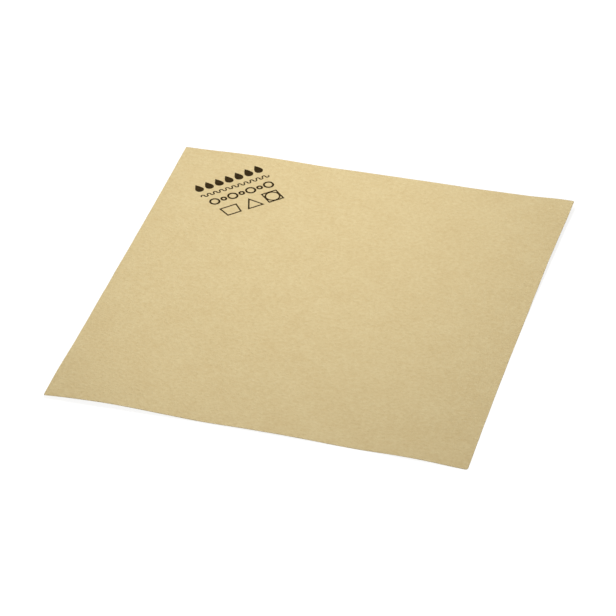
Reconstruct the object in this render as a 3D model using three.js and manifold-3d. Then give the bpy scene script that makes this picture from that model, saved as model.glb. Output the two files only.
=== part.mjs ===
// A PVA-coated microfibre cleaning cloth, spread loosely on a table.
// Lengths are in millimetres and +Z is up. The origin is on the table, under the middle of the cloth.
// +X runs to the right along the two short edges, and +Y to the back along the two long ones.

import * as THREE from "three";
import { mergeVertices } from "three/addons/utils/BufferGeometryUtils.js";
import Module from "manifold-3d";

// The cut cloth
const clothWidth = 350;
const clothLength = 380;
const frontRightCornerRadius = 2.5;
const otherCornerRadius = 1;

// Its layers, from the table up
const backCoatThickness = 0.15;
const knitThickness = 0.5;
const faceCoatThickness = 0.15;

// How far the middle of each edge strays from the line between its corners: the side edges to the
// middle of the cloth, the front and the back edge both to the back
const leftEdgeBow = 0.5;
const rightEdgeBow = 2.3;
const frontEdgeBow = 2.7;
const backEdgeBow = 1.4;

// How high the cloth lifts off the table where it doesn't lie flat
const backRightTipLift = 2;
const rightEdgeLift = 4.1;
const backEdgeLift = 1.8;
const printCornerLift = 1.6;
const frontLeftLift = 4.6;
const leftEdgeLift = 1.6;
const frontEdgeLift = 1.1;
const frontRightLift = 1.2;

// The printed marks: four rows that run up to the right across the back left corner
const printTurn = Math.PI / 4;
const printFromCorner = 58;
const printRightOfCorner = 8;
const rowGap = 4.8;
const inkThickness = 0.05;
const inkClearance = 0.02;
const cutOverrun = 1;

// Row of drops
const dropCount = 7;
const dropWidth = 7.6;
const dropHeight = 11.5;
const dropPitch = 9.7;

// Wavy line
const waveCount = 11;
const waveLength = 6;
const waveHeight = 4.7;
const waveStroke = 1.2;

// Row of bubbles, large and small by turns
const bubbleCount = 7;
const largeBubbleDiameter = 9.8;
const smallBubbleDiameter = 6;
const bubbleGap = 0.9;
const bubbleStroke = 1.8;

// Row of plain pictograms: a wash tub, a triangle and a square with a ring
const pictogramGap = 4.2;
const pictogramStroke = 1.4;
const tubWidth = 17;
const tubHeight = 13;
const tubSlope = 1.6;
const triangleWidth = 16.5;
const triangleHeight = 15;
const squareSide = 15.2;

// How finely the curved forms are divided
const cellsAcross = 20;
const cellsAlong = 22;
const stepsPerWave = 8;
const circleSegments = 10;

const clothThickness = backCoatThickness + knitThickness + faceCoatThickness;
const rimWidth = Math.max(frontRightCornerRadius, otherCornerRadius);

// Materials
const coatMaterial = new THREE.MeshStandardMaterial({ color: 0xdcc797, roughness: 0.9, metalness: 0 });
const knitMaterial = new THREE.MeshStandardMaterial({ color: 0xd3c6a2, roughness: 1, metalness: 0 });
const inkMaterial = new THREE.MeshStandardMaterial({ color: 0x2c2415, roughness: 0.8, metalness: 0 });

// Each place where the cloth lifts: its height, and its middle and its reach as shares of the
// cloth's width and length, with the middle of the cloth at 0 and its edges at half a share
const lifts = [
  { height: backRightTipLift, placeShares: [0.5, 0.5], reachShares: [0.14, 0.08] },
  { height: rightEdgeLift, placeShares: [0.5, 0.34], reachShares: [0.34, 0.37] },
  { height: backEdgeLift, placeShares: [0.23, 0.5], reachShares: [0.57, 0.16] },
  { height: printCornerLift, placeShares: [-0.3, 0.5], reachShares: [0.21, 0.12] },
  { height: frontLeftLift, placeShares: [-0.36, -0.44], reachShares: [0.3, 0.21] },
  { height: leftEdgeLift, placeShares: [-0.5, -0.2], reachShares: [0.23, 0.5] },
  { height: frontEdgeLift, placeShares: [0.02, -0.5], reachShares: [0.25, 0.12] },
  { height: frontRightLift, placeShares: [0.37, -0.5], reachShares: [0.145, 0.105] },
];
const highestLift = lifts.reduce((sum, lift) => sum + lift.height, 0);

// How high the cloth stands off the table: each lift is a round swell that dies out at its reach
function liftAt(acrossShare, alongShare) {
  let height = 0;
  for (const lift of lifts) {
    const across = (acrossShare - lift.placeShares[0]) / lift.reachShares[0];
    const along = (alongShare - lift.placeShares[1]) / lift.reachShares[1];
    const distance = Math.min(Math.hypot(across, along), 1);
    height += (lift.height * (1 + Math.cos(Math.PI * distance))) / 2;
  }
  return height;
}

// A point of the cloth's underside
function clothPoint(acrossShare, alongShare) {
  const sideBow = (0.5 - acrossShare) * leftEdgeBow - (0.5 + acrossShare) * rightEdgeBow;
  const endBow = (0.5 - alongShare) * frontEdgeBow + (0.5 + alongShare) * backEdgeBow;
  const x = acrossShare * clothWidth + sideBow * (1 - 4 * alongShare ** 2);
  const y = alongShare * clothLength + endBow * (1 - 4 * acrossShare ** 2);
  return new THREE.Vector3(x, y, liftAt(acrossShare, alongShare));
}

// The grid's lines across one side, with a narrow row of cells at both ends for the round corners
function gridShares(side, cells) {
  const rimShare = rimWidth / side;
  const shares = [-0.5];
  for (let i = 0; i <= cells; i += 1) {
    shares.push(-0.5 + rimShare + ((1 - 2 * rimShare) * i) / cells);
  }
  shares.push(0.5);
  return shares;
}

// How far a corner's point is drawn in along each side by the corner's round
function cornerInset(acrossShare, alongShare) {
  const onCorner = Math.abs(acrossShare) === 0.5 && Math.abs(alongShare) === 0.5;
  if (!onCorner) {
    return 0;
  }
  const frontRight = acrossShare > 0 && alongShare < 0;
  const radius = frontRight ? frontRightCornerRadius : otherCornerRadius;
  return radius * (1 - Math.SQRT1_2);
}

// One layer of the cloth as a closed sheet between two heights over the cloth's underside
function layerGeometry(lowerHeight, upperHeight) {
  const acrossShares = gridShares(clothWidth, cellsAcross);
  const alongShares = gridShares(clothLength, cellsAlong);
  const columns = acrossShares.length;
  const rows = alongShares.length;
  const upper = columns * rows;
  const positions = [];
  for (const height of [lowerHeight, upperHeight]) {
    for (const alongShare of alongShares) {
      for (const acrossShare of acrossShares) {
        const point = clothPoint(acrossShare, alongShare);
        const inset = cornerInset(acrossShare, alongShare);
        point.x -= Math.sign(acrossShare) * inset;
        point.y -= Math.sign(alongShare) * inset;
        positions.push(point.x, point.y, point.z + height);
      }
    }
  }
  const triangles = [];
  for (let row = 0; row < rows - 1; row += 1) {
    for (let column = 0; column < columns - 1; column += 1) {
      const a = row * columns + column;
      const b = a + 1;
      const c = b + columns;
      const d = a + columns;
      triangles.push(a, c, b, a, d, c);
      triangles.push(upper + a, upper + b, upper + c, upper + a, upper + c, upper + d);
    }
  }
  const rim = rimIndices(columns, rows);
  rim.forEach((here, i) => {
    const next = rim[(i + 1) % rim.length];
    triangles.push(here, next, upper + next, here, upper + next, upper + here);
  });
  const geometry = new THREE.BufferGeometry();
  geometry.setAttribute("position", new THREE.Float32BufferAttribute(positions, 3));
  geometry.setIndex(triangles);
  geometry.computeVertexNormals();
  return geometry;
}

// The grid's outermost points in order, against the clock from the front left corner
function rimIndices(columns, rows) {
  const rim = [];
  for (let column = 0; column < columns - 1; column += 1) {
    rim.push(column);
  }
  for (let row = 0; row < rows - 1; row += 1) {
    rim.push(row * columns + columns - 1);
  }
  for (let column = columns - 1; column > 0; column -= 1) {
    rim.push((rows - 1) * columns + column);
  }
  for (let row = rows - 1; row > 0; row -= 1) {
    rim.push(row * columns);
  }
  return rim;
}

const wasm = await Module();
wasm.setup();

function solidOf(geometry) {
  const bare = geometry.clone();
  bare.deleteAttribute("normal");
  bare.deleteAttribute("uv");
  const merged = mergeVertices(bare);
  const mesh = new wasm.Mesh({
    numProp: 3,
    vertProperties: merged.attributes.position.array,
    triVerts: new Uint32Array(merged.index.array),
  });
  return new wasm.Manifold(mesh);
}

function geometryOf(solid) {
  const mesh = solid.getMesh();
  const geometry = new THREE.BufferGeometry();
  geometry.setAttribute("position", new THREE.BufferAttribute(mesh.vertProperties, 3));
  geometry.setIndex(new THREE.BufferAttribute(mesh.triVerts, 1));
  geometry.computeVertexNormals();
  return geometry;
}

// A circle's outline about the origin
function circlePath(diameter) {
  const path = new THREE.Shape();
  path.absarc(0, 0, diameter / 2, 0, 2 * Math.PI);
  return path;
}

function ringShape(diameter, stroke) {
  const shape = circlePath(diameter);
  shape.holes.push(circlePath(diameter - 2 * stroke));
  return shape;
}

// A drop, its point up, with the middle of its box at the origin
function dropShape() {
  const radius = dropWidth / 2;
  const centre = radius - dropHeight / 2;
  const tangent = Math.asin(radius / (dropHeight - radius));
  const shape = new THREE.Shape();
  shape.absarc(0, centre, radius, tangent, Math.PI - tangent, true);
  shape.lineTo(0, dropHeight / 2);
  return shape;
}

function waveShape() {
  const swing = (waveHeight - waveStroke) / 2;
  const steps = waveCount * stepsPerWave;
  const upperEdge = [];
  const lowerEdge = [];
  for (let i = 0; i <= steps; i += 1) {
    const x = (i / steps - 0.5) * waveCount * waveLength;
    const y = swing * Math.sin((2 * Math.PI * i) / stepsPerWave);
    upperEdge.push(new THREE.Vector2(x, y + waveStroke / 2));
    lowerEdge.unshift(new THREE.Vector2(x, y - waveStroke / 2));
  }
  return new THREE.Shape([...upperEdge, ...lowerEdge]);
}

// A ring of even stroke between a polygon and its inset, the corners given against the clock
function frameShape(corners) {
  const inner = corners.map((corner, i) => {
    const before = corners[(i + corners.length - 1) % corners.length];
    const after = corners[(i + 1) % corners.length];
    const toBefore = before.clone().sub(corner).normalize();
    const toAfter = after.clone().sub(corner).normalize();
    const turn = toAfter.cross(toBefore);
    return toAfter.add(toBefore).multiplyScalar(pictogramStroke / turn).add(corner);
  });
  const shape = new THREE.Shape(corners);
  shape.holes.push(new THREE.Path(inner));
  return shape;
}

function tubShape() {
  const top = tubWidth / 2;
  const foot = top - tubSlope;
  const half = tubHeight / 2;
  return frameShape([
    new THREE.Vector2(-foot, -half),
    new THREE.Vector2(foot, -half),
    new THREE.Vector2(top, half),
    new THREE.Vector2(-top, half),
  ]);
}

function triangleShape() {
  return frameShape([
    new THREE.Vector2(-triangleWidth / 2, -triangleHeight / 2),
    new THREE.Vector2(triangleWidth / 2, -triangleHeight / 2),
    new THREE.Vector2(0, triangleHeight / 2),
  ]);
}

function squareShape() {
  const half = squareSide / 2;
  return frameShape([
    new THREE.Vector2(-half, -half),
    new THREE.Vector2(half, -half),
    new THREE.Vector2(half, half),
    new THREE.Vector2(-half, half),
  ]);
}

const cloth = new THREE.Group();
cloth.position.y = -backEdgeBow / 2;

function addPiece(name, geometry, material) {
  const mesh = new THREE.Mesh(geometry, material);
  mesh.name = name;
  cloth.add(mesh);
}

// The layers, each face to face with the next
const knitFoot = backCoatThickness;
const knitTop = knitFoot + knitThickness;
addPiece("pva_coat_back", layerGeometry(0, knitFoot), coatMaterial.clone());
addPiece("knitted_microfibre_base", layerGeometry(knitFoot, knitTop), knitMaterial);
addPiece("pva_coat_face", layerGeometry(knitTop, clothThickness), coatMaterial);

// The ink: one thin film over the whole face, out of which each mark is cut
const filmFoot = clothThickness + inkClearance;
const inkFilm = solidOf(layerGeometry(filmFoot, filmFoot + inkThickness));
const cutterHeight = filmFoot + inkThickness + highestLift + cutOverrun;

// Adds one mark. Its middle lies so far right of the rows' middle and so far below their top.
function addMark(name, shapes, right, down) {
  const place = new THREE.Matrix4().makeTranslation(-clothWidth / 2, clothLength / 2, 0);
  place.multiply(new THREE.Matrix4().makeRotationZ(printTurn));
  const shift = new THREE.Matrix4();
  shift.makeTranslation(printRightOfCorner + right, -printFromCorner - down, 0);
  place.multiply(shift);
  const cutters = shapes.map((shape) => {
    const cutter = new THREE.ExtrudeGeometry(shape, {
      depth: cutterHeight,
      bevelEnabled: false,
      curveSegments: circleSegments,
    });
    return solidOf(cutter.applyMatrix4(place));
  });
  const outline = cutters.reduce((joined, cutter) => joined.add(cutter));
  addPiece(name, geometryOf(inkFilm.intersect(outline)), inkMaterial.clone());
}

// Row 1: drops
const dropRowMiddle = dropHeight / 2;
for (let i = 0; i < dropCount; i += 1) {
  const right = (i - (dropCount - 1) / 2) * dropPitch;
  addMark("print_drop_" + (i + 1), [dropShape()], right, dropRowMiddle);
}

// Row 2: the wavy line
const waveTop = dropHeight + rowGap;
addMark("print_wavy_line", [waveShape()], 0, waveTop + waveHeight / 2);

// Row 3: bubbles
const bubbleTop = waveTop + waveHeight + rowGap;
const bubbleRowMiddle = bubbleTop + largeBubbleDiameter / 2;
const bubbles = [];
let bubbleRowLength = 0;
for (let i = 0; i < bubbleCount; i += 1) {
  const diameter = i % 2 === 0 ? largeBubbleDiameter : smallBubbleDiameter;
  bubbles.push({ diameter, middle: bubbleRowLength + diameter / 2 });
  bubbleRowLength += diameter + bubbleGap;
}
bubbleRowLength -= bubbleGap;
bubbles.forEach(({ diameter, middle }, i) => {
  const shape = ringShape(diameter, bubbleStroke);
  addMark("print_bubble_" + (i + 1), [shape], middle - bubbleRowLength / 2, bubbleRowMiddle);
});

// Row 4: pictograms on one line
const pictogramLine = bubbleTop + largeBubbleDiameter + rowGap + Math.max(triangleHeight, squareSide);
const pictogramRowLength = tubWidth + triangleWidth + squareSide + 2 * pictogramGap;
const tubMiddle = (tubWidth - pictogramRowLength) / 2;
const triangleMiddle = tubMiddle + (tubWidth + triangleWidth) / 2 + pictogramGap;
const squareMiddle = triangleMiddle + (triangleWidth + squareSide) / 2 + pictogramGap;
const dryerRing = ringShape(squareSide - pictogramStroke, pictogramStroke);
addMark("print_wash_tub", [tubShape()], tubMiddle, pictogramLine - tubHeight / 2);
addMark("print_triangle", [triangleShape()], triangleMiddle, pictogramLine - triangleHeight / 2);
addMark("print_ringed_square", [squareShape(), dryerRing], squareMiddle, pictogramLine - squareSide / 2);

export default cloth;
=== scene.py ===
"""A PVA-coated microfibre cleaning cloth, laid loosely on a white table. Lengths are in metres."""

import math

import bmesh
import bpy
import numpy as np
from mathutils import Matrix, Vector


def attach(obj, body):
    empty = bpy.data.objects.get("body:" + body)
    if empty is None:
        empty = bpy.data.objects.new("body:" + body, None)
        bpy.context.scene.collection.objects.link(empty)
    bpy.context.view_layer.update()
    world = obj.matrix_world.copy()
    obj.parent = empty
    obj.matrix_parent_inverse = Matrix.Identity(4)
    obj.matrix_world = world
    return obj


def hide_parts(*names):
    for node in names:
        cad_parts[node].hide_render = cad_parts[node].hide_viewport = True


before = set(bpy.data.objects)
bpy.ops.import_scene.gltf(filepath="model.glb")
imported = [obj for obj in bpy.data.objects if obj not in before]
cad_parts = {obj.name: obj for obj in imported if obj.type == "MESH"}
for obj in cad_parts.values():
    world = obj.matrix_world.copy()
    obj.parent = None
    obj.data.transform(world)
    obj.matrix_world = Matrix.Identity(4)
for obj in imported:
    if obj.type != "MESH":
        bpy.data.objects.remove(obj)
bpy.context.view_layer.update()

MM = 0.001
WHITE = (1, 1, 1, 1)
SHARED_BODY = "root"

# Points nearer to each other than this count as one place
SAME_PLACE = 0.001 * MM

# The cut cloth, and how far the middle of each edge strays from the line between its corners: the back
# edge outwards and the others inwards. The shift keeps the cloth in the middle of its box.
CLOTH_WIDTH = 350 * MM
CLOTH_LENGTH = 380 * MM
FRONT_RIGHT_RADIUS = 2.5 * MM
OTHER_RADIUS = 1.0 * MM
LEFT_BOW = 0.5 * MM
RIGHT_BOW = 2.3 * MM
FRONT_BOW = 2.7 * MM
BACK_BOW = 1.4 * MM
CLOTH_SHIFT = -BACK_BOW / 2

# Its layers, from the table up
BACK_COAT = 0.15 * MM
KNIT = 0.5 * MM
FACE_COAT = 0.15 * MM
KNIT_TOP = BACK_COAT + KNIT
CLOTH_THICKNESS = KNIT_TOP + FACE_COAT

# Where the cloth lifts off the table: height, then middle and reach as shares of width and length
LIFTS = [
    (2.0 * MM, 0.5, 0.5, 0.14, 0.08),
    (4.1 * MM, 0.5, 0.34, 0.34, 0.37),
    (1.8 * MM, 0.23, 0.5, 0.57, 0.16),
    (1.6 * MM, -0.3, 0.5, 0.21, 0.12),
    (4.6 * MM, -0.36, -0.44, 0.3, 0.21),
    (1.6 * MM, -0.5, -0.2, 0.23, 0.5),
    (1.1 * MM, 0.02, -0.5, 0.25, 0.12),
    (1.2 * MM, 0.37, -0.5, 0.145, 0.105),
]

# Fine unevenness that a limp sheet keeps: long slack, short puckers and the cut's own wander, which
# fades away from the edge, faster the higher its power
SLACK_HEIGHT = 0.15 * MM
SLACK_WAVES = (70 * MM, 150 * MM)
PUCKER_HEIGHT = 0.022 * MM
PUCKER_WAVES = (9 * MM, 24 * MM)
CUT_WANDER = 0.12 * MM
CUT_WAVES = (14 * MM, 60 * MM)
WANDER_FADE = 12

# Mesh spacing: fine rows at the cut edge, and even cells between. Folds beyond the angle stay sharp.
CELL = 1.8 * MM
EDGE_ROWS = [0, 0.04 * MM, 0.09 * MM, 0.16 * MM, 0.5 * MM, 1.0 * MM, 1.5 * MM, 2.0 * MM, 2.5 * MM]
CRISP_ANGLE = math.radians(50)

# The cut edge: how far in and how deep the cutter presses each coat, and the rows in which the knit's
# rim swells out between its two faces, unevenly and by other amounts in each row
EDGE_ROLL = 0.16 * MM
EDGE_DROP = 0.1 * MM
KNIT_BULGE = 0.07 * MM
BULGE_ROWS = (0.3, 0.7)
BULGE_UNEVENNESS = 1.5
BULGE_WAVES = (0.6 * MM, 4 * MM)
BULGE_ROW_SHIFT = 3 * MM

# Grain of the coated face: the knit's columns of loops, which show through the coat, tufts of the dried
# nap, and the coat's own ripples and pebbling, drawn out a little from side to side of the cloth. All
# four have a relief, the first three a share in the grain's depth, where the ink thins and painted
# shade darkens the coat, and the last one in its tone.
LOOP_COLUMN = 0.7 * MM
LOOP_RELIEF = 0.05 * MM
LOOP_SHARE = 0.06
TUFT = 0.9 * MM
TUFT_RELIEF = 0.3 * MM
TUFT_SHARE = 0.5
RIPPLE = 1.4 * MM
RIPPLE_STRETCH = 1.7
RIPPLE_RELIEF = 0.25 * MM
RIPPLE_SHARE = 0.4
PEBBLE = 2.8 * MM
PEBBLE_STRETCH = 1.2
PEBBLE_RELIEF = 0.5 * MM
PEBBLE_SHARE = 0.52

# Tone of the coated face, with its larger patches and clouds, and where in the sums of shares the grain
# begins and is deepest, and the tone is darkest and lightest; also the painted shade deep in the grain
PATCH = 9 * MM
PATCH_SHARE = 0.08
CLOUD = 34 * MM
CLOUD_SHARE = 0.24
GRAIN_START = 0.54
GRAIN_DEEPEST = 0.3
TONE_DARKEST = 0.28
TONE_LIGHTEST = 0.58
COAT_DARK = "#DBC491"
COAT_LIGHT = "#E5D2A1"
# Painted shade: the colour towards which the coat is darkened deep in its grain
COAT_PAINTED_SHADE = "#BFA46D"
COAT_SHEEN = "#F4E6C4"
# How far towards that painted shade the coat goes where its grain is deepest
PAINTED_SHADE_STRENGTH = 0.3

# The raw knit and the ink
YARN = 0.4 * MM
YARN_RELIEF = 0.08 * MM
KNIT_DARK = "#E0C994"
KNIT_LIGHT = "#FBEBC6"
INK_FULL = "#2B1F0A"
INK_THIN = "#665431"
INK_THINNING = 0.35

# The print, across the back left corner: its turn, and how far below and right of that corner the
# middle of its top is, with the print held upright
PRINT_TURN = math.radians(45)
PRINT_FROM_CORNER = 58 * MM
PRINT_RIGHT_OF_CORNER = 8 * MM
ROW_GAP = 4.8 * MM
DROP_COUNT = 7
DROP_WIDTH = 7.6 * MM
DROP_HEIGHT = 11.5 * MM
DROP_PITCH = 9.7 * MM
DROP_POINT_REACH = 0.65 * DROP_WIDTH
WAVE_COUNT = 11
WAVE_LENGTH = 6.0 * MM
WAVE_HEIGHT = 4.7 * MM
WAVE_STROKE = 1.2 * MM
BUBBLE_COUNT = 7
LARGE_BUBBLE = 9.8 * MM
SMALL_BUBBLE = 6.0 * MM
BUBBLE_GAP = 0.9 * MM
BUBBLE_STROKE = 1.8 * MM
PICTOGRAM_GAP = 4.2 * MM
PICTOGRAM_STROKE = 1.4 * MM
TUB_WIDTH = 17.0 * MM
TUB_HEIGHT = 13.0 * MM
TUB_SLOPE = 1.6 * MM
TRIANGLE_WIDTH = 16.5 * MM
TRIANGLE_HEIGHT = 15.0 * MM
SQUARE_SIDE = 15.2 * MM

# How finely its marks are divided, where they start above the cloth, and the film that they become
ROUND_STEPS = 64
BEND_STEPS = 16
INK_CELL = 2.5 * MM
ABOVE_CLOTH = 20 * MM
INK_LIFT = 0.03 * MM
INK_THICKNESS = 0.03 * MM

# Loose fibre ends at the cut edge: their form, where they root in the knit, as shares of its height and
# a depth, and how they lean aside, rise and bend, against a way out of length 1
FIBRE_COUNT = 3000
FIBRE_LENGTH = (0.4 * MM, 1.6 * MM)
FIBRE_SHARE_LEFT = (0.4, 1)
FIBRE_RADIUS = 0.02 * MM
FIBRE_TAPER = 0.85
FIBRE_STEPS = 4
FIBRE_SIDES = 3
FIBRE_ROOTS = (0.15, 0.95)
FIBRE_ROOT_DEPTH = 0.1 * MM
FIBRE_LEAN = 0.7
FIBRE_MEAN_RISE = 0.15
FIBRE_RISE = 0.4
FIBRE_BEND = 0.7
FIBRE_CLEARANCE = 0.1 * MM

# Camera, from the four corners of the cloth in the photograph
IMAGE_PIXELS = 616
FOCAL_PIXELS = 3677
SENSOR_WIDTH_MM = 36
CAMERA_AZIMUTH = math.radians(16.16)
CAMERA_ELEVATION = math.radians(35.68)
CAMERA_ROLL = math.radians(-0.36)
CAMERA_DISTANCE = 3.048
CAMERA_TARGET = Vector((-4.81 * MM, -14.48 * MM + CLOTH_SHIFT, 0))

# Light: a long soft lamp close above the cloth, a broad weak one low in front, which lights the cut
# edge, and an even white room round them
LAMP_PLACE = Vector((0.003, 0.147, 0.595))
LAMP_AIM = Vector((-0.2, -0.09, 0))
LAMP_SIZE = (0.14, 0.86)
LAMP_POWER = 3.8
FRONT_FROM = Vector((0.5, -1.0, 0.36))
FRONT_POWER = 0.61
FRONT_SOFTNESS = math.radians(40)
AMBIENT = 0.23

# The table: its colour as the cloth has it for a neighbour and as it is seen directly, and its glow far
# from the lamp and under it
TABLE_SIDE = 12
TABLE_BESIDE = "#E7E7E7"
TABLE_SEEN = "#929292"
GLOW_FAR = 0.97
GLOW_UNDER = 0.80

scene = bpy.context.scene


# Small helpers

def colour(hex_code):
    """An sRGB hex colour as a linear RGBA tuple."""
    parts = [int(hex_code[i:i + 2], 16) / 255 for i in (1, 3, 5)]
    linear = [c / 12.92 if c <= 0.04045 else ((c + 0.055) / 1.055) ** 2.4 for c in parts]
    return (*linear, 1.0)


def only(piece):
    """Leaves one object alone selected and active."""
    bpy.ops.object.select_all(action="DESELECT")
    piece.select_set(True)
    bpy.context.view_layer.objects.active = piece


def apply_modifier(piece, kind, **settings):
    """Adds a modifier with its settings and applies it."""
    modifier = piece.modifiers.new(kind.lower(), kind)
    for name, value in settings.items():
        setattr(modifier, name, value)
    only(piece)
    bpy.ops.object.modifier_apply(modifier=modifier.name)


def keep_edges_crisp(piece):
    """Smooth faces, with the corner at the rim kept sharp."""
    only(piece)
    bpy.ops.object.shade_smooth_by_angle(angle=CRISP_ANGLE)


# Nodes

def add(tree, kind, inputs=None, **settings):
    """Adds a node with its settings, and links or sets its inputs."""
    node = tree.nodes.new(kind)
    for name, value in settings.items():
        setattr(node, name, value)
    for key, value in (inputs or {}).items():
        if isinstance(value, bpy.types.NodeSocket):
            tree.links.new(value, node.inputs[key])
        else:
            node.inputs[key].default_value = value
    return node


def arithmetic(tree, operation, *values):
    """The result of one operation on node outputs and numbers."""
    return add(tree, "ShaderNodeMath", dict(enumerate(values)), operation=operation).outputs[0]


def weighted_sum(tree, *parts):
    """The sum of node outputs, each times its weight."""
    total = 0.0
    for source, weight in parts:
        total = arithmetic(tree, "MULTIPLY_ADD", source, weight, total)
    return total


def share_of_way(tree, value, start, end):
    """How far a value is on its way from start to end, from 0 to 1."""
    inputs = {"Value": value, "From Min": start, "From Max": end}
    return add(tree, "ShaderNodeMapRange", inputs).outputs[0]


def on_the_way(tree, share, start, end):
    """The number that is a share of the way from start to end."""
    inputs = {"Value": share, "To Min": start, "To Max": end}
    return add(tree, "ShaderNodeMapRange", inputs).outputs[0]


def blend(tree, share, first, second):
    """The first colour at a share of 0, the second one at 1, and a mix of them between."""
    mix = add(tree, "ShaderNodeMix", {"Factor": share, "A": first, "B": second}, data_type="RGBA")
    return mix.outputs["Result"]


def noise(tree, place, size, detail=2.0, roughness=0.5):
    """A cloudy pattern from 0 to 1, whose largest shapes are about as large as size."""
    inputs = {"Vector": place, "Scale": 1 / size, "Detail": detail, "Roughness": roughness}
    return add(tree, "ShaderNodeTexNoise", inputs).outputs["Fac"]


def stripes(tree, place, period, distortion, detail_scale):
    """Soft, wavering stripes from 0 to 1 that follow each other across the cloth, one to each period.
    The pattern's own stripes are a tenth of pi apart."""
    inputs = {"Vector": place, "Scale": math.pi / 10 / period, "Distortion": distortion,
              "Detail Scale": detail_scale}
    return add(tree, "ShaderNodeTexWave", inputs).outputs["Fac"]


def drawn_out(tree, place, times):
    """Places in which a pattern is so many times longer from side to side of the cloth."""
    return add(tree, "ShaderNodeMapping", {"Vector": place, "Scale": (1 / times, 1, 1)}).outputs[0]


def relief(tree, height):
    """The surface's normals, turned as by a relief of the given height in metres."""
    return add(tree, "ShaderNodeBump", {"Height": height, "Distance": 1.0, "Strength": 1.0}).outputs[0]


def new_material(name):
    """A material, its node tree, and the place on the object by which its patterns are laid."""
    material = bpy.data.materials.new(name)
    material.use_nodes = True
    tree = material.node_tree
    tree.nodes.clear()
    return material, tree, add(tree, "ShaderNodeTexCoord").outputs["Object"]


def set_shader(tree, inputs):
    """Gives a material its shader, with the given inputs."""
    shader = add(tree, "ShaderNodeBsdfPrincipled", inputs)
    add(tree, "ShaderNodeOutputMaterial", {"Surface": shader.outputs[0]})


# Materials

def coat_relief(tree, place):
    """The coated face's relief in metres, its pebbling and the depth of its fine grain, from 0 to 1."""
    pebbles = noise(tree, drawn_out(tree, place, PEBBLE_STRETCH), PEBBLE)
    ripples = noise(tree, drawn_out(tree, place, RIPPLE_STRETCH), RIPPLE)
    tufts = noise(tree, place, TUFT, detail=4.0, roughness=0.75)
    loops = stripes(tree, place, LOOP_COLUMN, distortion=2.5, detail_scale=0.35)
    height = weighted_sum(tree, (pebbles, PEBBLE_RELIEF), (ripples, RIPPLE_RELIEF),
                          (tufts, TUFT_RELIEF), (loops, LOOP_RELIEF))
    grain = weighted_sum(tree, (tufts, TUFT_SHARE), (ripples, RIPPLE_SHARE), (loops, LOOP_SHARE))
    return height, pebbles, share_of_way(tree, grain, GRAIN_START, GRAIN_DEEPEST)


def coated_knit(name):
    """Knitted split microfibre dipped in PVA and dried: an even, matt yellow beige, like chamois to the
    eye, with no gloss, faint clouds, fine pebbling, and a suede grain in which the knit just shows.
    Shade is painted into the colour deep in the grain."""
    material, tree, place = new_material(name)
    height, pebbles, depth = coat_relief(tree, place)
    mottling = weighted_sum(tree, (noise(tree, place, CLOUD), CLOUD_SHARE),
                            (noise(tree, place, PATCH), PATCH_SHARE), (pebbles, PEBBLE_SHARE))
    tone = share_of_way(tree, mottling, TONE_DARKEST, TONE_LIGHTEST)
    even = blend(tree, tone, colour(COAT_DARK), colour(COAT_LIGHT))
    # Painted shade: the colour is darkened deep in the grain, where shade would fall
    painted_shade = arithmetic(tree, "MULTIPLY", depth, PAINTED_SHADE_STRENGTH)
    set_shader(tree, {
        "Base Color": blend(tree, painted_shade, even, colour(COAT_PAINTED_SHADE)), "Roughness": 0.92,
        "Normal": relief(tree, height), "IOR": 1.5, "Specular IOR Level": 0.25, "Sheen Weight": 0.06,
        "Sheen Roughness": 0.5, "Sheen Tint": colour(COAT_SHEEN)})
    return material


def cut_knit(name):
    """The raw knit at the die-cut edge: uncoated microfibre, paler and fluffier than the face, with
    yarn ends side by side about every 0.4 mm."""
    material, tree, place = new_material(name)
    yarns = noise(tree, place, YARN, detail=3.0)
    set_shader(tree, {
        "Base Color": blend(tree, yarns, colour(KNIT_DARK), colour(KNIT_LIGHT)), "Roughness": 0.97,
        "Normal": relief(tree, arithmetic(tree, "MULTIPLY", yarns, YARN_RELIEF)),
        "Specular IOR Level": 0.1, "Sheen Weight": 0.1, "Sheen Roughness": 0.6})
    return material


def textile_ink(name):
    """Black-brown textile ink, printed on: matt, and thin deep in the grain, where the printing screen
    doesn't reach and the cloth's colour comes through a little."""
    material, tree, place = new_material(name)
    height, _, depth = coat_relief(tree, place)
    thinning = arithmetic(tree, "MULTIPLY", depth, INK_THINNING)
    set_shader(tree, {
        "Base Color": blend(tree, thinning, colour(INK_FULL), colour(INK_THIN)), "Roughness": 0.85,
        "Normal": relief(tree, height), "IOR": 1.45, "Specular IOR Level": 0.08})
    return material


# The cloth's form

def waves(lengths, count, seed):
    """A sum of waves in random directions, from -1 to 1: count of them, of lengths between two."""
    draw = np.random.default_rng(seed)
    parts = []
    for _ in range(count):
        turn = draw.uniform(0, math.pi)
        pace = 2 * math.pi / draw.uniform(*lengths)
        parts.append((pace * math.cos(turn), pace * math.sin(turn), draw.uniform(0, 2 * math.pi)))

    def total(x, y):
        return sum(np.cos(a * x + b * y + c) for a, b, c in parts) / count

    return total


slack = waves(SLACK_WAVES, count=7, seed=11)
pucker = waves(PUCKER_WAVES, count=16, seed=23)
wander = waves(CUT_WAVES, count=5, seed=31)
fluff = waves(BULGE_WAVES, count=24, seed=41)


def lift_at(across, along):
    """How high the cloth stands off the table at shares from -0.5 to 0.5 of its width and length."""
    height = np.zeros_like(across)
    for top, mid_across, mid_along, reach_across, reach_along in LIFTS:
        distance = np.hypot((across - mid_across) / reach_across, (along - mid_along) / reach_along)
        height += top * (1 + np.cos(math.pi * np.minimum(distance, 1))) / 2
    return height


def arch(share):
    """1 in the middle of the cloth, down to 0 at its edges, at shares from -0.5 to 0.5 of its side."""
    return 1 - 4 * share ** 2


def near_edge(share):
    """1 at the cloth's edges, fading towards its middle, at shares from -0.5 to 0.5 of its side."""
    return np.clip(np.abs(share) * 2, 0, 1) ** WANDER_FADE


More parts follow.
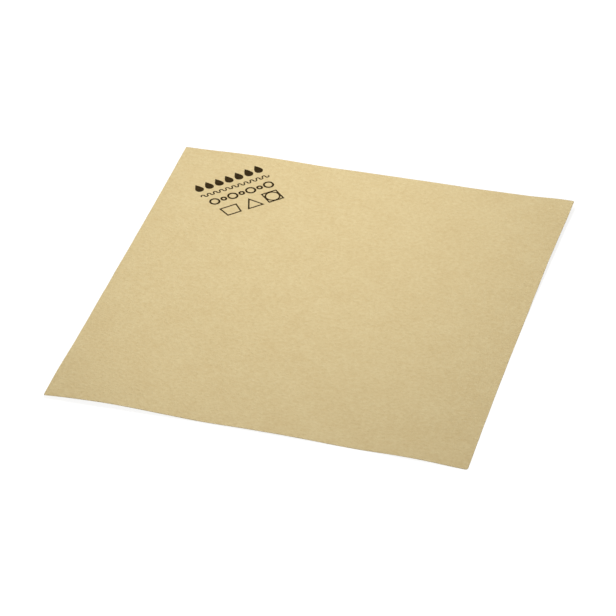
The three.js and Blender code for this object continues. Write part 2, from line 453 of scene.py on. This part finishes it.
def side_lines(side):
    """Places across one side for the grid's lines: fine rows at both edges, even cells between."""
    inner = side - 2 * EDGE_ROWS[-1]
    cells = round(inner / CELL)
    middle = [EDGE_ROWS[-1] + inner * i / cells for i in range(1, cells)]
    return np.array([*EDGE_ROWS, *middle, *[side - row for row in reversed(EDGE_ROWS)]]) - side / 2


def round_corners(x, y):
    """Draws the points of each corner's square in onto the corner's round."""
    for sign_x in (-1, 1):
        for sign_y in (-1, 1):
            radius = FRONT_RIGHT_RADIUS if (sign_x, sign_y) == (1, -1) else OTHER_RADIUS
            middle_x = sign_x * (CLOTH_WIDTH / 2 - radius)
            middle_y = sign_y * (CLOTH_LENGTH / 2 - radius)
            u = np.clip(sign_x * (x - middle_x) / radius, 0, 1)
            v = np.clip(sign_y * (y - middle_y) / radius, 0, 1)
            inside = (u > 0) & (v > 0)
            x = np.where(inside, middle_x + sign_x * radius * u * np.sqrt(1 - v ** 2 / 2), x)
            y = np.where(inside, middle_y + sign_y * radius * v * np.sqrt(1 - u ** 2 / 2), y)
    return x, y


def cloth_surface(x, y, height):
    """Where points of the flat cloth lie, height over its underside, once it is laid down."""
    across, along = x / CLOTH_WIDTH, y / CLOTH_LENGTH
    side_bow = (0.5 - across) * LEFT_BOW - (0.5 + across) * RIGHT_BOW
    end_bow = (0.5 - along) * FRONT_BOW + (0.5 + along) * BACK_BOW
    out_x = x + side_bow * arch(along) + CUT_WANDER * wander(x, y) * near_edge(across)
    out_y = y + end_bow * arch(across) + CUT_WANDER * wander(y, x) * near_edge(along)
    out_z = lift_at(across, along) + SLACK_HEIGHT * (1 + slack(x, y))
    out_z = out_z + PUCKER_HEIGHT * (1 + pucker(x, y)) + height
    return np.stack([out_x, out_y + CLOTH_SHIFT, out_z], axis=-1)


def rolled(x, y):
    """How far the coat drops at the cut edge, where the cutter presses it down."""
    from_edge = np.minimum(CLOTH_WIDTH / 2 - np.abs(x), CLOTH_LENGTH / 2 - np.abs(y))
    share = np.clip(from_edge / EDGE_ROLL, 0, 1)
    return EDGE_DROP * (1 - np.sqrt(1 - (1 - share) ** 2))


def way_out(x, y):
    """For points of the flat cloth's edge, the level direction away from the cloth."""
    on_side = np.where(CLOTH_WIDTH / 2 - np.abs(x) < SAME_PLACE, np.sign(x), 0)
    on_end = np.where(CLOTH_LENGTH / 2 - np.abs(y) < SAME_PLACE, np.sign(y), 0)
    return np.stack([on_side, on_end, np.zeros_like(x)], axis=-1)


def flat_grid(name):
    """A grid with the cloth's rows and columns, and where each of its points lies on the flat cloth."""
    lines_x, lines_y = side_lines(CLOTH_WIDTH), side_lines(CLOTH_LENGTH)
    columns, rows = len(lines_x) - 1, len(lines_y) - 1
    bpy.ops.object.select_all(action="DESELECT")
    bpy.ops.mesh.primitive_grid_add(x_subdivisions=columns, y_subdivisions=rows, size=1)
    piece = bpy.context.object
    piece.name = piece.data.name = name
    points = np.empty(len(piece.data.vertices) * 3)
    piece.data.vertices.foreach_get("co", points)
    points = points.reshape(-1, 3)
    column = np.rint((points[:, 0] + 0.5) * columns).astype(int)
    row = np.rint((points[:, 1] + 0.5) * rows).astype(int)
    return piece, lines_x[column], lines_y[row]


def sheet(name, low, high, material, roll_low=0, roll_high=0, bulge=0):
    """One layer of the cloth between two heights over its underside, as a closed sheet. At the cut edge
    its faces are pressed in by the shares roll_low and roll_high, and its rim swells by about bulge
    between them, unevenly, as cut yarn does."""
    piece, flat_x, flat_y = flat_grid(name)
    drop = rolled(flat_x, flat_y)
    x, y = round_corners(flat_x, flat_y)
    upper = cloth_surface(x, y, high - drop * roll_high)
    lower = cloth_surface(x, y, low + drop * roll_low)
    between = []
    for share in BULGE_ROWS if bulge else ():
        swell = bulge * (1 + BULGE_UNEVENNESS * fluff(x + BULGE_ROW_SHIFT * share, y))
        between.append(upper + (lower - upper) * share + way_out(flat_x, flat_y) * swell[:, None])
    piece.data.vertices.foreach_set("co", upper.ravel())
    close_below(piece.data, between, lower)
    piece.data.materials.append(material)
    keep_edges_crisp(piece)
    return piece


def close_below(mesh, between, lower):
    """Adds the layer's underside at the given points, and the rim that joins the two faces through the
    rows between."""
    bm = bmesh.new()
    bm.from_mesh(mesh)
    bm.verts.ensure_lookup_table()
    top = list(bm.verts)
    faces = list(bm.faces)
    rim = [edge for edge in bm.edges if edge.is_boundary]
    under = [bm.verts.new(point) for point in lower]
    rows = {}
    for vert in {vert for edge in rim for vert in edge.verts}:
        i = vert.index
        rows[i] = [top[i], *[bm.verts.new(row[i]) for row in between], under[i]]
    for face in faces:
        bm.faces.new([under[vert.index] for vert in reversed(face.verts)])
    for edge in rim:
        loop = edge.link_loops[0]
        near, far = rows[loop.vert.index], rows[loop.link_loop_next.vert.index]
        for k in range(len(near) - 1):
            bm.faces.new([far[k], near[k], near[k + 1], far[k + 1]])
    bm.normal_update()
    bm.to_mesh(mesh)
    bm.free()


# Loose fibre ends along the cut edge

def edge_fibres(name, material):
    """Fine tapered fibres that stand out of the knit all round the cut."""
    draw = np.random.default_rng(seed=7)
    bm = bmesh.new()
    for station in draw.uniform(0, 2 * (CLOTH_WIDTH + CLOTH_LENGTH), FIBRE_COUNT):
        flat, outward = edge_point(station)
        height = BACK_COAT + draw.uniform(*FIBRE_ROOTS) * KNIT
        at_edge = Vector(cloth_surface(np.array(flat.x), np.array(flat.y), height))
        lean = Vector((-outward.y, outward.x, 0)) * draw.normal(0, FIBRE_LEAN)
        rise = Vector((0, 0, draw.normal(FIBRE_MEAN_RISE, FIBRE_RISE)))
        length = draw.uniform(*FIBRE_LENGTH) * draw.uniform(*FIBRE_SHARE_LEFT)
        bend = Vector(draw.normal(0, FIBRE_BEND, 3))
        root = at_edge - outward * FIBRE_ROOT_DEPTH
        add_fibre(bm, root, (outward + lean + rise).normalized(), bend, length)
    mesh = bpy.data.meshes.new(name)
    bm.to_mesh(mesh)
    bm.free()
    mesh.materials.append(material)
    mesh.shade_smooth()
    piece = bpy.data.objects.new(name, mesh)
    scene.collection.objects.link(piece)
    return piece


def edge_point(station):
    """The point so far round the flat cloth's edge, from its front left corner, and the way out."""
    corner = Vector((-CLOTH_WIDTH / 2, -CLOTH_LENGTH / 2, 0))
    way = Vector((1, 0, 0))
    for side in (CLOTH_WIDTH, CLOTH_LENGTH, CLOTH_WIDTH, CLOTH_LENGTH):
        if station <= side:
            break
        station -= side
        corner += way * side
        way = Vector((-way.y, way.x, 0))
    inset = min(max(station, FRONT_RIGHT_RADIUS), side - FRONT_RIGHT_RADIUS)
    return corner + way * inset, Vector((way.y, -way.x, 0))


def add_fibre(bm, root, way, bend, length):
    """One fibre from its root: it curves by bend and thins to its tip, and stays above the table."""
    side = way.orthogonal().normalized()
    other = way.cross(side)
    turns = [2 * math.pi * k / FIBRE_SIDES for k in range(FIBRE_SIDES)]
    spokes = [side * math.cos(turn) + other * math.sin(turn) for turn in turns]
    rings = []
    for i in range(FIBRE_STEPS + 1):
        share = i / FIBRE_STEPS
        middle = root + (way + bend * share / 2) * length * share
        middle.z = max(middle.z, FIBRE_CLEARANCE)
        radius = FIBRE_RADIUS * (1 - FIBRE_TAPER * share)
        rings.append([bm.verts.new(middle + spoke * radius) for spoke in spokes])
    for low, high in zip(rings, rings[1:]):
        for k in range(FIBRE_SIDES):
            m = (k + 1) % FIBRE_SIDES
            bm.faces.new([low[k], low[m], high[m], high[k]])
    bm.faces.new(list(reversed(rings[0])))
    bm.faces.new(rings[-1])


# The print's marks, each modelled flat about the origin

def select_in_edit(piece, wanted=lambda place: True):
    """Opens a flat mark in edit mode with only the vertices selected whose place is wanted."""
    only(piece)
    bpy.ops.object.mode_set(mode="EDIT")
    bpy.ops.mesh.select_mode(type="VERT")
    bpy.ops.mesh.select_all(action="DESELECT")
    bpy.ops.object.mode_set(mode="OBJECT")
    for vert in piece.data.vertices:
        vert.select = wanted(vert.co)
    bpy.ops.object.mode_set(mode="EDIT")
    bpy.ops.mesh.select_mode(type="VERT")


def hollow_out(piece, stroke):
    """Leaves only an even stroke along the inside of a flat mark's outline."""
    select_in_edit(piece)
    bpy.ops.mesh.inset(thickness=stroke)
    bpy.ops.mesh.delete(type="FACE")
    bpy.ops.object.mode_set(mode="OBJECT")


def disc(radius, corners=ROUND_STEPS):
    """A flat disc, or a regular shape of fewer corners."""
    bpy.ops.object.select_all(action="DESELECT")
    bpy.ops.mesh.primitive_circle_add(vertices=corners, radius=radius, fill_type="NGON")
    return bpy.context.object


def plate(side):
    """A flat square."""
    bpy.ops.object.select_all(action="DESELECT")
    bpy.ops.mesh.primitive_plane_add(size=side)
    return bpy.context.object


def stretch(x=1, y=1):
    """Stretches what is selected away from the origin."""
    bpy.ops.transform.resize(value=(x, y, 1), center_override=(0, 0, 0))


def shift(x=0, y=0, **options):
    """Moves what is selected."""
    bpy.ops.transform.translate(value=(x, y, 0), **options)


def drop_mark():
    """A round drop drawn out to a point."""
    mark = disc(DROP_WIDTH / 2)
    select_in_edit(mark)
    shift(y=(DROP_WIDTH - DROP_HEIGHT) / 2)
    bpy.ops.object.mode_set(mode="OBJECT")
    top = max(vert.co.y for vert in mark.data.vertices)
    select_in_edit(mark, lambda place: place.y > top - SAME_PLACE)
    shift(y=DROP_HEIGHT - DROP_WIDTH, use_proportional_edit=True, proportional_edit_falloff="SHARP",
          proportional_size=DROP_POINT_REACH)
    bpy.ops.object.mode_set(mode="OBJECT")
    return mark


def ring_mark(diameter, stroke):
    """A ring, measured over its stroke."""
    mark = disc(diameter / 2)
    hollow_out(mark, stroke)
    return mark


def wave_mark():
    """Half-round bends, up and down in turn, joined by short straights."""
    bend = WAVE_LENGTH / 4
    straight = WAVE_HEIGHT - WAVE_STROKE - 2 * bend
    left = -WAVE_COUNT * WAVE_LENGTH / 2
    mark = plate(WAVE_STROKE)
    select_in_edit(mark)
    stretch(y=straight / WAVE_STROKE)
    shift(x=left)
    bpy.ops.object.mode_set(mode="OBJECT")
    select_in_edit(mark, lambda place: place.y > 0)
    for i in range(2 * WAVE_COUNT):
        heading = 1 if i % 2 == 0 else -1
        middle = (left + (2 * i + 1) * bend, heading * straight / 2, 0)
        bpy.ops.mesh.spin(steps=BEND_STEPS, angle=heading * math.pi, center=middle, axis=(0, 0, 1))
        bpy.ops.mesh.extrude_region_move(TRANSFORM_OT_translate={"value": (0, -heading * straight, 0)})
    bpy.ops.object.mode_set(mode="OBJECT")
    return mark


def tub_mark():
    """A wash tub, narrower below, as an outline."""
    mark = plate(TUB_WIDTH)
    select_in_edit(mark)
    stretch(y=TUB_HEIGHT / TUB_WIDTH)
    bpy.ops.object.mode_set(mode="OBJECT")
    select_in_edit(mark, lambda place: place.y < 0)
    stretch(x=1 - 2 * TUB_SLOPE / TUB_WIDTH)
    bpy.ops.object.mode_set(mode="OBJECT")
    hollow_out(mark, PICTOGRAM_STROKE)
    return mark


def triangle_mark():
    """A triangle's outline, from a regular triangle, which is 1.5 times as high and sqrt(3) times as
    wide as its radius. It is stretched to its width, and then moved down to have its mid-height at the
    origin."""
    radius = TRIANGLE_HEIGHT / 1.5
    mark = disc(radius, corners=3)
    select_in_edit(mark)
    stretch(x=TRIANGLE_WIDTH / (radius * math.sqrt(3)))
    shift(y=-radius / 4)
    bpy.ops.object.mode_set(mode="OBJECT")
    hollow_out(mark, PICTOGRAM_STROKE)
    return mark


def square_mark():
    """A square's outline."""
    mark = plate(SQUARE_SIDE)
    hollow_out(mark, PICTOGRAM_STROKE)
    return mark


def copies(mark, count):
    """The mark and its copies, each with a mesh of its own."""
    made = [mark]
    for _ in range(count - 1):
        only(mark)
        bpy.ops.object.duplicate(linked=False)
        made.append(bpy.context.object)
    return made


def place_mark(mark, right, down):
    """Sets a mark over its place in the rows: right of their middle, and down from their top."""
    in_print = Vector((PRINT_RIGHT_OF_CORNER + right, -PRINT_FROM_CORNER - down, ABOVE_CLOTH))
    in_print.rotate(Matrix.Rotation(PRINT_TURN, 3, "Z"))
    mark.location = in_print + Vector((-CLOTH_WIDTH / 2, CLOTH_LENGTH / 2 + CLOTH_SHIFT, 0))
    mark.rotation_euler.z = PRINT_TURN
    only(mark)
    bpy.ops.object.transform_apply(location=True, rotation=True, scale=True)
    return mark


def slice_finely(piece):
    """Cuts a flat mark into small cells that can follow the cloth's swells, with its faces up."""
    corners = [vert.co.copy() for vert in piece.data.vertices]
    select_in_edit(piece)
    bpy.ops.mesh.remove_doubles(threshold=SAME_PLACE)
    for axis in (Vector((1, 0, 0)), Vector((0, 1, 0))):
        spots = [corner.dot(axis) for corner in corners]
        for i in range(1, math.ceil((max(spots) - min(spots)) / INK_CELL)):
            bpy.ops.mesh.select_all(action="SELECT")
            bpy.ops.mesh.bisect(plane_co=axis * (min(spots) + i * INK_CELL), plane_no=axis)
    bpy.ops.mesh.select_all(action="SELECT")
    bpy.ops.mesh.normals_make_consistent(inside=False)
    bpy.ops.object.mode_set(mode="OBJECT")
    if piece.data.polygons[0].normal.z < 0:
        select_in_edit(piece)
        bpy.ops.mesh.flip_normals()
        bpy.ops.object.mode_set(mode="OBJECT")


def ink_piece(name, marks, face, material):
    """Joins marks into one film of ink, laid on the cloth's face."""
    for mark in marks:
        slice_finely(mark)
    bpy.ops.object.select_all(action="DESELECT")
    for mark in marks:
        mark.select_set(True)
    bpy.context.view_layer.objects.active = marks[0]
    bpy.ops.object.join()
    piece = bpy.context.object
    piece.name = piece.data.name = name
    apply_modifier(piece, "SHRINKWRAP", target=face, wrap_method="PROJECT", use_project_z=True,
                   use_negative_direction=True, use_positive_direction=False, offset=INK_LIFT)
    apply_modifier(piece, "SOLIDIFY", thickness=INK_THICKNESS, offset=1)
    piece.data.materials.clear()
    piece.data.materials.append(material)
    keep_edges_crisp(piece)
    return piece


def drop_row():
    """The top row: drops side by side."""
    return [place_mark(mark, (i - (DROP_COUNT - 1) / 2) * DROP_PITCH, DROP_HEIGHT / 2)
            for i, mark in enumerate(copies(drop_mark(), DROP_COUNT))]


def bubble_row(top):
    """The third row: rings, large and small in turn."""
    large = copies(ring_mark(LARGE_BUBBLE, BUBBLE_STROKE), (BUBBLE_COUNT + 1) // 2)
    small = copies(ring_mark(SMALL_BUBBLE, BUBBLE_STROKE), BUBBLE_COUNT // 2)
    pitch = (LARGE_BUBBLE + SMALL_BUBBLE) / 2 + BUBBLE_GAP
    row = []
    for i in range(BUBBLE_COUNT):
        ring = small[i // 2] if i % 2 else large[i // 2]
        row.append(place_mark(ring, (i - (BUBBLE_COUNT - 1) / 2) * pitch, top + LARGE_BUBBLE / 2))
    return row


def pictogram_row(line):
    """The bottom row: a wash tub, a triangle and a ringed square, standing on one line."""
    length = TUB_WIDTH + TRIANGLE_WIDTH + SQUARE_SIDE + 2 * PICTOGRAM_GAP
    tub = (TUB_WIDTH - length) / 2
    triangle = tub + (TUB_WIDTH + TRIANGLE_WIDTH) / 2 + PICTOGRAM_GAP
    square = triangle + (TRIANGLE_WIDTH + SQUARE_SIDE) / 2 + PICTOGRAM_GAP
    ring = ring_mark(SQUARE_SIDE - PICTOGRAM_STROKE, PICTOGRAM_STROKE)
    return [
        place_mark(tub_mark(), tub, line - TUB_HEIGHT / 2),
        place_mark(triangle_mark(), triangle, line - TRIANGLE_HEIGHT / 2),
        place_mark(square_mark(), square, line - SQUARE_SIDE / 2),
        place_mark(ring, square, line - SQUARE_SIDE / 2),
    ]


# Camera, table and light

def set_camera():
    """The camera that took the photograph."""
    forward = Vector((-math.sin(CAMERA_AZIMUTH) * math.cos(CAMERA_ELEVATION),
                      math.cos(CAMERA_AZIMUTH) * math.cos(CAMERA_ELEVATION),
                      -math.sin(CAMERA_ELEVATION)))
    right = forward.cross(Vector((0, 0, 1))).normalized()
    up = right.cross(forward)
    turned_right = right * math.cos(CAMERA_ROLL) + up * math.sin(CAMERA_ROLL)
    turned_up = up * math.cos(CAMERA_ROLL) - right * math.sin(CAMERA_ROLL)
    data = bpy.data.cameras.new("camera")
    data.sensor_width = SENSOR_WIDTH_MM
    data.lens = SENSOR_WIDTH_MM * FOCAL_PIXELS / IMAGE_PIXELS
    data.clip_end = 100
    camera = bpy.data.objects.new("camera", data)
    scene.collection.objects.link(camera)
    turn = Matrix((turned_right, turned_up, -forward)).transposed().to_4x4()
    camera.matrix_world = Matrix.Translation(CAMERA_TARGET - forward * CAMERA_DISTANCE) @ turn
    scene.camera = camera


def seen_directly(tree):
    """1 for rays that show the background itself: from the camera, a mirror or glass."""
    path = add(tree, "ShaderNodeLightPath").outputs
    either = arithmetic(tree, "MAXIMUM", path["Is Camera Ray"], path["Is Glossy Ray"])
    return arithmetic(tree, "MAXIMUM", either, path["Is Transmission Ray"])


def set_world():
    """A white room, which is dimmer as a light than it looks."""
    world = bpy.data.worlds.new("white_studio")
    world.use_nodes = True
    tree = world.node_tree
    tree.nodes.clear()
    strength = on_the_way(tree, seen_directly(tree), AMBIENT, 1.0)
    background = add(tree, "ShaderNodeBackground", {"Color": WHITE, "Strength": strength})
    add(tree, "ShaderNodeOutputWorld", {"Surface": background.outputs[0]})
    scene.world = world


def lamp_share(tree, place):
    """Roughly how bright the lamp makes the table at a place, from 1 under it to 0 far away: the fourth
    power of the cosine of the light's slant there."""
    below = (LAMP_PLACE.x, LAMP_PLACE.y, 0)
    far = add(tree, "ShaderNodeVectorMath", {0: place, 1: below}, operation="DISTANCE").outputs["Value"]
    slant = arithmetic(tree, "DIVIDE", far, LAMP_PLACE.z)
    spread = arithmetic(tree, "MULTIPLY_ADD", slant, slant, 1.0)
    return arithmetic(tree, "POWER", spread, -2.0)


def white_table(name):
    """A matt white laminate top, kept white all over in the picture: where it is seen directly, a glow
    makes up for the lamp's fall with distance, so that only the cloth's shadow shows on it."""
    material, tree, place = new_material(name)
    seen = seen_directly(tree)
    glow = on_the_way(tree, lamp_share(tree, place), GLOW_FAR, GLOW_UNDER)
    set_shader(tree, {
        "Base Color": blend(tree, seen, colour(TABLE_BESIDE), colour(TABLE_SEEN)), "Roughness": 0.8,
        "Specular IOR Level": 0.0, "Emission Color": WHITE,
        "Emission Strength": arithmetic(tree, "MULTIPLY", glow, seen)})
    return material


def set_table():
    """The table under the cloth."""
    table = plate(TABLE_SIDE)
    table.name = "table"
    table.data.materials.append(white_table("white_laminate"))


def set_lamp(name, kind, power, place, way):
    """A lamp at a place that shines one way, its length as nearly along y as that allows."""
    data = bpy.data.lights.new(name, kind)
    data.energy = power
    lamp = bpy.data.objects.new(name, data)
    scene.collection.objects.link(lamp)
    across = way.cross(Vector((0, 1, 0))).normalized()
    along = across.cross(way).normalized()
    turn = Matrix((across, along, -way.normalized())).transposed().to_4x4()
    lamp.matrix_world = Matrix.Translation(place) @ turn
    return data


def set_lamps():
    """The soft lamp above the cloth and the weak one in front."""
    above = set_lamp("lamp_above", "AREA", LAMP_POWER, LAMP_PLACE, LAMP_AIM - LAMP_PLACE)
    above.shape = "RECTANGLE"
    above.size, above.size_y = LAMP_SIZE
    front = set_lamp("lamp_in_front", "SUN", FRONT_POWER, FRONT_FROM, -FRONT_FROM)
    front.angle = FRONT_SOFTNESS


# Everything is made and put together here

set_camera()
set_world()
set_table()
set_lamps()

coat_material = coated_knit("pva_coated_microfibre")
knit_material = cut_knit("raw_microfibre_knit")
ink_material = textile_ink("textile_printing_ink")

back_coat = sheet("coated_back", 0, BACK_COAT, coat_material, roll_low=1)
knit_core = sheet("knit_core", BACK_COAT, KNIT_TOP, knit_material, bulge=KNIT_BULGE)
face_coat = sheet("coated_face", KNIT_TOP, CLOTH_THICKNESS, coat_material, roll_high=1)
fibres = edge_fibres("cut_edge_fibres", knit_material)

wave_top = DROP_HEIGHT + ROW_GAP
bubble_top = wave_top + WAVE_HEIGHT + ROW_GAP
pictogram_line = bubble_top + LARGE_BUBBLE + ROW_GAP + max(TRIANGLE_HEIGHT, SQUARE_SIDE)
drops = ink_piece("printed_drops", drop_row(), face_coat, ink_material)
wave = place_mark(wave_mark(), 0, wave_top + WAVE_HEIGHT / 2)
wavy_line = ink_piece("printed_wavy_line", [wave], face_coat, ink_material)
bubbles = ink_piece("printed_bubbles", bubble_row(bubble_top), face_coat, ink_material)
pictograms = ink_piece("printed_pictograms", pictogram_row(pictogram_line), face_coat, ink_material)

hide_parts("pva_coat_back")
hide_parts("knitted_microfibre_base")
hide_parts("pva_coat_face")
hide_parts(*[f"print_drop_{i + 1}" for i in range(DROP_COUNT)])
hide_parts("print_wavy_line")
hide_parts(*[f"print_bubble_{i + 1}" for i in range(BUBBLE_COUNT)])
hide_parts("print_wash_tub", "print_triangle", "print_ringed_square")

for slot_name, pieces in (("pva_coat", (back_coat, face_coat)),
                          ("microfibre_knit", (knit_core, fibres)),
                          ("print_ink", (drops, wavy_line, bubbles, pictograms))):
    for piece in pieces:
        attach(piece, SHARED_BODY)

scene.view_settings.view_transform = "Standard"
